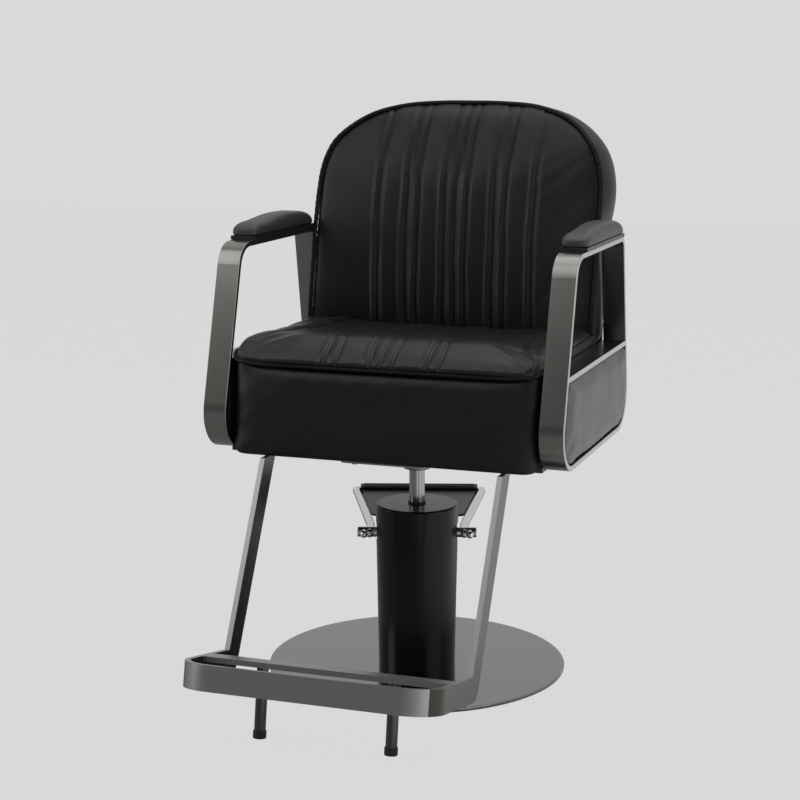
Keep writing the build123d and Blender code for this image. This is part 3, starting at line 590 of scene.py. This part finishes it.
def welt(name, path, radius, up):
    """Round piping along a line of points in mm; up never points along the line."""
    tangent = unit(np.gradient(path, axis=0))
    side = unit(np.cross(tangent, up))
    other = np.cross(side, tangent)
    angles = 2 * math.pi * np.arange(WELT_SIDES) / WELT_SIDES
    across = side[:, None] * np.cos(angles)[:, None] + other[:, None] * np.sin(angles)[:, None]
    rings = path[:, None] + radius * across
    obj = mesh_object(name, rings.reshape(-1, 3) * MM, skin(len(path), WELT_SIDES))
    dress(obj, PIPING)


def creases(points, seed, count, length, lean):
    """Smooth random ripples about as long as length, in -1..1, for soft pulls in the cover."""
    rng = np.random.default_rng(seed)
    total = np.zeros(len(points))
    for _ in range(count):
        direction = rng.normal(size=3) * np.array([1, 1, lean])
        direction /= np.linalg.norm(direction)
        wave = length * rng.uniform(0.7, 1.5)
        total += np.sin(points @ direction * 2 * math.pi / wave + rng.uniform(0, 6.28))
    return total / math.sqrt(count)


def crown(x, a, b):
    """Rounded swelling between two seams at a and b: 1 midway and 0 at both."""
    return np.clip(1 - ((x - (a + b) / 2) / ((b - a) / 2)) ** 2, 0, 1)


def ridge(d, width):
    """Bell shape, 1 at the middle."""
    return np.exp(-((d / width) ** 2))


# ---------------------------------------------------------------- back cushion
BACK_HALF = 275.0
BACK_LOW, BACK_HIGH = 576.0, 1008.0
BACK_MIDDLE = (0, 790)
BACK_FOOT_Z = 590.0
BACK_LEAN = 0.278

# one half of the top edge, from the side to the middle, as (x, z)
BACK_TOP = [(275, 838), (272.5, 875), (264.5, 908), (252, 934), (236, 953), (190, 985), (135, 1001),
            (65, 1007.2), (0, 1008)]
# the padded front, as (z, y): along its edge and down its middle
EDGE_Y = [(560, 170), (600, 174), (630, 177), (720, 196), (779, 208), (817, 219), (854, 231),
          (911, 245), (948, 258), (985, 300), (1006, 330)]
MID_Y = [(560, 208), (598, 208), (646, 209), (740, 213), (832, 223), (887, 234), (924, 248),
         (960, 270), (996, 301), (1007, 326)]
ARCH_POINTS = 90
SHARP_CORNER = 0.01


def arch(half, low, high, corner, spacing):
    """Closed outline of a back piece: straight sides and a wide curve over the top."""
    over = [(x * half / BACK_HALF, z - BACK_HIGH + high) for x, z in BACK_TOP]
    over = np.array(over + [(-x, z) for x, z in over[-2::-1]])
    run = run_length(over)
    at = np.linspace(0, run[-1], ARCH_POINTS)
    curve = [(x, z) for x, z in zip(*(curve_at(at, np.c_[run, side]) for side in over.T))]
    radii = [corner, corner] + [SHARP_CORNER] * ARCH_POINTS
    return rounded([(-half, low), (half, low)] + curve, radii, spacing)


def leaning(foot_y, z):
    """Y of a flat face that leans back as it rises from foot_y."""
    return foot_y + BACK_LEAN * (z - BACK_FOOT_Z)


BACK_RIM = arch(BACK_HALF, BACK_LOW, BACK_HIGH, 10, 4.0)
BACK_BOW = 2.5 + 7.5 * step(BACK_RIM[:, 1], 780, 850)


def back_front(u, v):
    """Dished front, puffed up behind its edge seam."""
    edge, middle = curve_at(v, EDGE_Y), curve_at(v, MID_Y)
    share = 1 - np.clip(np.abs(u) / BACK_HALF, 0, 1) ** 2.3
    return np.c_[u, edge + (middle - edge) * share - puff(u, v, BACK_RIM, 7.0, 16.0), v]


def back_board(u, v):
    """Rear of the cushion: flat, a little wider and lower than the front."""
    wider = 1.01 + 0.014 * step(v, 775, 850)
    return np.c_[u * wider, leaning(257.0, v), BACK_FOOT_Z + (v - BACK_FOOT_Z) * 0.965]


def hold_back(p):
    """Pinned along the front seam, at the lower flanks beside the loops, and on the board."""
    x, y, z = np.abs(p[:, 0]), p[:, 1], p[:, 2]
    flank = step(x, 262, 272) * step(-z, -810, -780)
    board = leaning(248, z)
    return np.maximum(np.maximum(rim_hold(p[:, 0], z, BACK_RIM, 14.0), flank), step(y, board, board + 8))


# sewn channels across the back, as x; the wider tucks are those at the listed places
BACK_LINES = [-151, -97, -74, -21.6, 0, 21.6, 74, 97, 151]
WIDE_TUCKS = (0, 1, 3, 6, 8)
TUCK = 3.4


def tuck_profile(d, reach):
    """Beside a seam: rises gently from the left, drops sharply at d = 0, then eases back."""
    rise = TUCK * step(d, -reach, -4.2) * (1 - step(d, -4.6, -0.4))
    drop = TUCK * step(d, -3.4, 0) * (1 - step(d, 0.5, reach))
    return rise - drop


def sew_back(obj):
    """Channels with puckered stitching, which fade toward the top seam, and pads between them."""
    p = read(obj) / MM
    x, z = p[:, 0], p[:, 2]
    n = read(obj, "normal")
    front = step(-n[:, 1], 0.15, 0.5)
    half_top = BACK_TOP[::-1]
    below_top = np.interp(np.abs(x), [a for a, _ in half_top], [b for _, b in half_top]) - z
    fade = step(below_top, 6, 60)
    lift, mask = np.zeros(len(p)), np.zeros(len(p))
    for i, line in enumerate(BACK_LINES):
        wander = np.sin(z / 47.0 + i * 1.7) + 0.5 * np.sin(z / 19.0 + i)
        d = x - line - wander
        lift += (0.35 + 0.65 * fade) * tuck_profile(d, 14.0 if i in WIDE_TUCKS else 11.0)
        mask = np.maximum(mask, ridge(d + 2.6, 3.0) * fade)
    for a, b in zip(BACK_LINES, BACK_LINES[1:]):
        if b - a > 30:
            lift += 2.0 * crown(x, a, b)
    lift += 0.7 * creases(p, 11, 7, 110, 0.5) * fade
    write(obj, (p + n * (lift * front)[:, None]) * MM)
    attribute(obj, "seam_mask", mask * front)
    attribute(obj, "seam_along", z * MM)


back = ring_solid("back_upholstery", BACK_RIM, 30, BACK_MIDDLE, back_front, back_board, 12, BACK_BOW)
remesh(back, 5.5)
smooth(back, 2)
swell(back, 4.0, hold_back, 3.0, settle=12)
subdivide(back)
sew_back(back)
dress(back, BACK_VINYL, ("back_cushion",))

# piping around the front of the back, above the seat
BACK_WELT, WELT_OUT, WELT_FORWARD = 4.3, 1.4, 1.2
run = open_run(BACK_RIM, BACK_RIM[:, 1] > BACK_FOOT_Z)
out = unit(np.c_[run[:, 0], np.zeros(len(run)), run[:, 1] - BACK_MIDDLE[1]])
path = back_front(*run.T) + out * WELT_OUT - np.array([0, WELT_FORWARD, 0])
welt("back_piping", path, BACK_WELT, (0, 1, 0))

# ---------------------------------------------------------------- rear cover of the back
REAR_RIM = arch(277, 432, 982, 20, 6.0)
REAR_RIM[:, 0] *= 1 - 0.024 * step(REAR_RIM[:, 1], 590, 650)
REAR_Y, REAR_THICK = 262.5, 16.0


def rear_face(u, v):
    return np.c_[u, leaning(REAR_Y, v), v]


def rear_inner(u, v):
    return np.c_[u, leaning(REAR_Y - REAR_THICK, v), v]


def hold_rear(p):
    return rim_hold(p[:, 0], p[:, 2], REAR_RIM, 12.0)


rear_cover = ring_solid("back_rear_cover", REAR_RIM, 22, (0, 700), rear_face, rear_inner, 4, 1.0)
remesh(rear_cover, 6.0)
smooth(rear_cover, 2)
swell(rear_cover, 4.0, hold_rear, 2.0)
dress(rear_cover, VINYL, ("back_rear_panel",))

# ---------------------------------------------------------------- seat cushion
SEAT_HALF, SEAT_FRONT, SEAT_REAR = 280, -185, 206
SEAT_MIDDLE = (0, 10)
SEAT_UNDER = 573.0
FRONT_ROLL, FLANK_ROLL, ROLL_POWER = 52.0, 22.0, 2.4
SEAT_RIM = rounded(
    [(-SEAT_HALF, SEAT_FRONT), (SEAT_HALF, SEAT_FRONT), (SEAT_HALF, SEAT_REAR), (-SEAT_HALF, SEAT_REAR)],
    [30, 30, 10, 10], 4.0)
# the top, as (y, z): along the middle and along each side
MID_Z = [(-200, 606), (-160, 615), (-132, 618), (-100, 616), (-60, 610), (-10, 603), (50, 598.5),
         (130, 597), (215, 598)]
SIDE_Z = [(-200, 604), (-160, 612), (-132, 614), (-60, 612), (20, 609), (100, 608), (150, 607), (215, 601)]


def rim_height(u, v):
    """Height of the seat's lower seam: low in front, higher along the sides."""
    side = step(np.abs(u), 215, 279)
    return SEAT_UNDER + side * (12.0 * step(v, -186, -150) + 7.0 * step(v, -150, -60) + 4)


def seat_top(u, v):
    """Crowned top whose front and sides roll over and fall to the lower seam."""
    middle, sides = curve_at(v, MID_Z), curve_at(v, SIDE_Z)
    share = step(np.abs(u), 150, 235)
    z = middle * (1 - share) + sides * share
    low = rim_height(u, v)
    front = np.clip(1 - (v - SEAT_FRONT + 2) / FRONT_ROLL, 0, 1)
    flank = np.clip(1 - (SEAT_HALF + 1 - np.abs(u)) / FLANK_ROLL, 0, 1)
    fall = 1 - np.sqrt(1 - np.minimum(front**ROLL_POWER + flank**ROLL_POWER, 1))
    z = z - (z - low) * fall
    bulge = np.sin(np.pi * np.clip((z - low) / 42.0, 0, 1))
    return np.c_[u, v - 8.0 * bulge * step(front, 0.3, 1.0), z]


def seat_under(u, v):
    return np.c_[u * 0.998, v * 0.998, np.full_like(u, SEAT_UNDER)]


def hold_seat(p):
    """Pinned along the lower seam and underneath."""
    seam = rim_hold(p[:, 0], p[:, 1], SEAT_RIM, 8.0) * step(-p[:, 2], -592, -580)
    return np.maximum(seam, step(-p[:, 2], -580, -576))


# sewn channels across the seat, as x, the wide pads between them, and the edge of the side
# bolsters as (y, x)
SEAT_LINES = [-103, -82, -21, 0, 21, 82, 103]
SEAT_PADS = ((-230, -103), (-82, -21), (21, 82), (103, 230))
BOLSTER = [(-200, 282), (-178, 268), (-150, 246), (-110, 232), (-40, 216), (60, 203), (210, 192)]
PULLS_A_SIDE = 16


def bolster_pulls(p):
    """Short random pulls that run off the bolster seams."""
    rng = np.random.default_rng(5)
    lift = np.zeros(len(p))
    for sign in (-1, 1):
        for _ in range(PULLS_A_SIDE):
            at = rng.uniform(-150, 190)
            tilt = rng.uniform(-0.5, 0.9)
            reach = rng.uniform(18, 42)
            wide = rng.uniform(3.5, 7.0)
            away = sign * p[:, 0] - curve_at(at, BOLSTER)
            across = p[:, 1] - at - tilt * away
            lift += rng.uniform(-1.3, 0.9) * ridge(across, wide) * ridge(away, reach)
    return lift


def sew_seat(obj):
    """Channels that are deepest over the front edge, pads between them, and the side bolsters."""
    p = read(obj) / MM
    x, y = p[:, 0], p[:, 1]
    n = read(obj, "normal")
    upper = step(p[:, 2], 576, 584) * step(n[:, 2] - 1.2 * n[:, 1], 0.05, 0.5)
    front = step(-y, 40, 175)
    lift, mask = np.zeros(len(p)), np.zeros(len(p))
    for i, line in enumerate(SEAT_LINES):
        d = x - line - 1.2 * np.sin(y / 31.0 + i * 1.3)
        lift += (0.35 + 0.65 * front) * (2.6 * ridge(d + 6.5, 4.6) - 3.6 * ridge(d, 2.8))
        mask = np.maximum(mask, ridge(d + 2.6, 3.0) * (0.35 + 0.65 * (1 - front)))
    for a, b in SEAT_PADS:
        lift += 2.4 * crown(x, a, b) * (0.5 + 0.5 * front)
    beside = np.abs(x) - curve_at(y, BOLSTER)
    lift += 2.6 * ridge(beside - 16, 13) * step(y, -150, -60) - 4.0 * ridge(beside, 3.4)
    lift += bolster_pulls(p) + 0.9 * creases(p, 3, 8, 95, 0.3)
    write(obj, (p + n * (lift * upper)[:, None]) * MM)
    attribute(obj, "seam_mask", mask * upper)
    attribute(obj, "seam_along", y * MM)


seat = ring_solid("seat_upholstery", SEAT_RIM, 44, SEAT_MIDDLE, seat_top, seat_under, 3, 0.0)
remesh(seat, 5.0)
smooth(seat, 2)
swell(seat, 3.5, hold_seat, 2.5)
subdivide(seat)
sew_seat(seat)
dress(seat, VINYL_STITCHED, ("seat_cushion",))

# piping along the lower seam, open behind
SEAT_WELT, SEAT_WELT_OUT, SEAT_WELT_UP, SEAT_WELT_END = 3.5, 1.5, 1.0, 175
run = open_run(SEAT_RIM, SEAT_RIM[:, 1] < SEAT_WELT_END)
path = np.c_[run + unit(run - SEAT_MIDDLE) * SEAT_WELT_OUT, rim_height(*run.T) + SEAT_WELT_UP]
welt("seat_piping", path, SEAT_WELT, (0, 0, 1))

# ---------------------------------------------------------------- front panel of the seat
FASCIA_HALF, FASCIA_LOW, FASCIA_HIGH = 280, 412, 583
FASCIA_CORNER = 28.0
FASCIA_LEAN = 14.0 / 161
FASCIA_RIM = rounded(
    [(-FASCIA_HALF, FASCIA_LOW), (FASCIA_HALF, FASCIA_LOW),
     (FASCIA_HALF, FASCIA_HIGH), (-FASCIA_HALF, FASCIA_HIGH)],
    [20, 20, 3, 3], 4.0)


def fascia_plan(u):
    """How far the panel falls back around its rounded ends."""
    over = np.clip(np.abs(u) - (FASCIA_HALF - FASCIA_CORNER), 0, FASCIA_CORNER)
    return FASCIA_CORNER - np.sqrt(np.maximum(FASCIA_CORNER**2 - over**2, 0))


def fascia_top(u, v):
    """Lower the top edge in the middle so that it meets the piping."""
    low = rim_height(u, np.full_like(u, -160.0) - 20 * (np.abs(u) < 250))
    return v + (low - FASCIA_HIGH) * step(v, 560, FASCIA_HIGH)


def fascia_y(foot_y, z):
    """The panel leans back as it rises."""
    return foot_y + FASCIA_LEAN * (z - FASCIA_LOW)


def fascia_face(u, v):
    z = fascia_top(u, v)
    return np.c_[u, fascia_y(-198.5, z) + fascia_plan(u) - puff(u, v, FASCIA_RIM, 4.0, 14.0), z]


def fascia_rear(u, v):
    z = fascia_top(u, v)
    return np.c_[u, fascia_y(-184.0, z) + 0.9 * fascia_plan(u), z]


def hold_fascia(p):
    return rim_hold(p[:, 0], p[:, 2], FASCIA_RIM, 10.0)


fascia = ring_solid("seat_fascia", FASCIA_RIM, 26, (0, 498), fascia_face, fascia_rear, 4, 0.5)
remesh(fascia, 5.0)
smooth(fascia, 2)
swell(fascia, 3.0, hold_fascia, 1.5, settle=24)
subdivide(fascia)
p, n = read(fascia) / MM, read(fascia, "normal")
pull = 0.5 * creases(p, 21, 8, 120, 1.5) + 0.25 * creases(p, 22, 8, 45, 1.5)
write(fascia, (p + n * (pull * step(-n[:, 1], 0.3, 0.8))[:, None]) * MM)
dress(fascia, VINYL, ("seat_front_panel",))


# ---------------------------------------------------------------- side panels and arm pads
def copy_of(name, node_name):
    """New object with its own copy of a CAD node's mesh."""
    obj = bpy.data.objects.new(name, NODES[node_name].data.copy())
    scene.collection.objects.link(obj)
    return obj


def side_panel(side, sign):
    """Padded vinyl between the bars of the loop, pinned on its inner part."""
    source = f"{side}_side_panel"
    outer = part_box(source)[1 if sign > 0 else 0].x / MM

    def hold_panel(q):
        return step(sign * (outer - q[:, 0]), 6, 12)

    panel = copy_of(f"{side}_side_pad", source)
    remesh(panel, 5.0)
    smooth(panel, 3)
    swell(panel, 4.0, hold_panel, 2.5, settle=4)
    subdivide(panel)
    p, n = read(panel) / MM, read(panel, "normal")
    pull = 0.45 * creases(p, 31 + sign, 8, 90, 1.0)
    write(panel, (p + n * (pull * step(sign * n[:, 0], 0.3, 0.8))[:, None]) * MM)
    # painted sheen: this vinyl is coloured lighter to stand for the panel's sheen at a grazing angle
    dress(panel, SHEEN_PAINTED_SIDE_VINYL, (source,))


def arm_pad(side):
    """Soft pad on the arm, pinned underneath."""
    source = f"{side}_arm_pad"

    def hold_pad(q):
        return step(-q[:, 2], -792, -786)

    pad = copy_of(f"{side}_arm_cushion", source)
    remesh(pad, 2.5)
    smooth(pad, 4)
    swell(pad, 1.5, hold_pad, 2.0, frames=12)
    subdivide(pad)
    dress(pad, ARM_VINYL, (source,))


for side, sign in (("left", 1), ("right", -1)):
    side_panel(side, sign)
    arm_pad(side)

# ---------------------------------------------------------------- floor
FLOOR_HALF, FLOOR_Z = 9, -0.0005
FLOOR_SEEN, FLOOR_GLOW = 0.684, 0.26
floor_data = bpy.data.meshes.new("floor")
floor_corners = [(x * FLOOR_HALF, y * FLOOR_HALF, FLOOR_Z) for x, y in ((-1, -1), (1, -1), (1, 1), (-1, 1))]
floor_data.from_pydata(floor_corners, [], [(0, 1, 2, 3)])
floor = bpy.data.objects.new("floor", floor_data)
scene.collection.objects.link(floor)
FLOOR, tree, bsdf = material("pale_floor")
bsdf.inputs["Base Color"].default_value = (0.012, 0.012, 0.012, 1)
bsdf.inputs["Roughness"].default_value = 0.9
bsdf.inputs["Specular IOR Level"].default_value = 0.0
bsdf.inputs["Emission Color"].default_value = (1, 1, 1, 1)
seen_directly = tree.nodes.new("ShaderNodeLightPath").outputs["Is Camera Ray"]
glow = span(tree, seen_directly, FLOOR_GLOW, FLOOR_SEEN)
split = tree.nodes.new("ShaderNodeSeparateXYZ")
tree.links.new(coords(tree), split.inputs[0])
# painted glow: the floor glows brighter toward the chair's left, unseen by the camera, to throw extra light
# onto that side of the chair
brighter = gradual(tree, split.outputs["X"], 0.12, 0.5, 0.0, 0.6)
unseen_left_glow = math_node(tree, "MULTIPLY", brighter, span(tree, seen_directly, 1, 0))
tree.links.new(math_node(tree, "ADD", glow, unseen_left_glow), bsdf.inputs["Emission Strength"])
floor_data.materials.append(FLOOR)

# ---------------------------------------------------------------- plain background, lit from behind
BACKGROUND = 0.694
world = bpy.data.worlds.new("world")
scene.world = world
world.use_nodes = True
sky = world.node_tree
sky.nodes.clear()
output = sky.nodes.new("ShaderNodeOutputWorld")
paths = sky.nodes.new("ShaderNodeLightPath")
lit = sky.nodes.new("ShaderNodeBackground")
lit.inputs["Color"].default_value = (1, 1, 1, 1)
seen = sky.nodes.new("ShaderNodeBackground")
seen.inputs["Color"].default_value = (BACKGROUND, BACKGROUND, BACKGROUND, 1)
mixed = sky.nodes.new("ShaderNodeMixShader")
tex = sky.nodes.new("ShaderNodeTexCoord")
parts = sky.nodes.new("ShaderNodeSeparateXYZ")
sky.links.new(tex.outputs["Generated"], parts.inputs[0])
sky.links.new(gradual(sky, parts.outputs["Y"], -0.5, 0.7, 0.12, 0.7), lit.inputs["Strength"])
sky.links.new(paths.outputs["Is Camera Ray"], mixed.inputs[0])
sky.links.new(lit.outputs[0], mixed.inputs[1])
sky.links.new(seen.outputs[0], mixed.inputs[2])
sky.links.new(mixed.outputs[0], output.inputs[0])


# ---------------------------------------------------------------- studio lights
def area(name, place, aim_height, size, power, size_y=None):
    """Soft box at a place, in metres and watts, aimed at a height on the chair's axis."""
    light = bpy.data.lights.new(name, "AREA")
    light.shape = "RECTANGLE"
    light.size = size
    light.size_y = size_y or size
    light.energy = power
    obj = bpy.data.objects.new(name, light)
    obj.location = place
    obj.rotation_mode = "QUATERNION"
    obj.rotation_quaternion = (Vector((0, 0, aim_height)) - Vector(place)).to_track_quat("-Z", "Y")
    scene.collection.objects.link(obj)


area("key", (-1.4, -1.85, 3.0), 0.6, 2.8, 36)
area("left", (-3.0, -1.5, 1.5), 0.8, 1.3, 32, size_y=2.4)
area("top", (0.6, 0.3, 3.4), 0.6, 3.4, 48)
area("fill", (3.0, -1.0, 1.5), 0.6, 2.6, 28)

# ---------------------------------------------------------------- camera, at the photograph's angle
CAMERA_PITCH, CAMERA_YAW = 10.742, 19.205
camera_data = bpy.data.cameras.new("camera")
camera_data.sensor_width = 36
camera_data.lens = 83.07
camera_data.shift_x = -0.0113
camera_data.clip_end = 60
camera = bpy.data.objects.new("camera", camera_data)
camera.location = (1.0549, -3.0724, 1.1081)
camera.rotation_euler = (math.radians(90 - CAMERA_PITCH), 0, math.radians(CAMERA_YAW))
scene.collection.objects.link(camera)
scene.camera = camera
scene.view_settings.view_transform = "Standard"
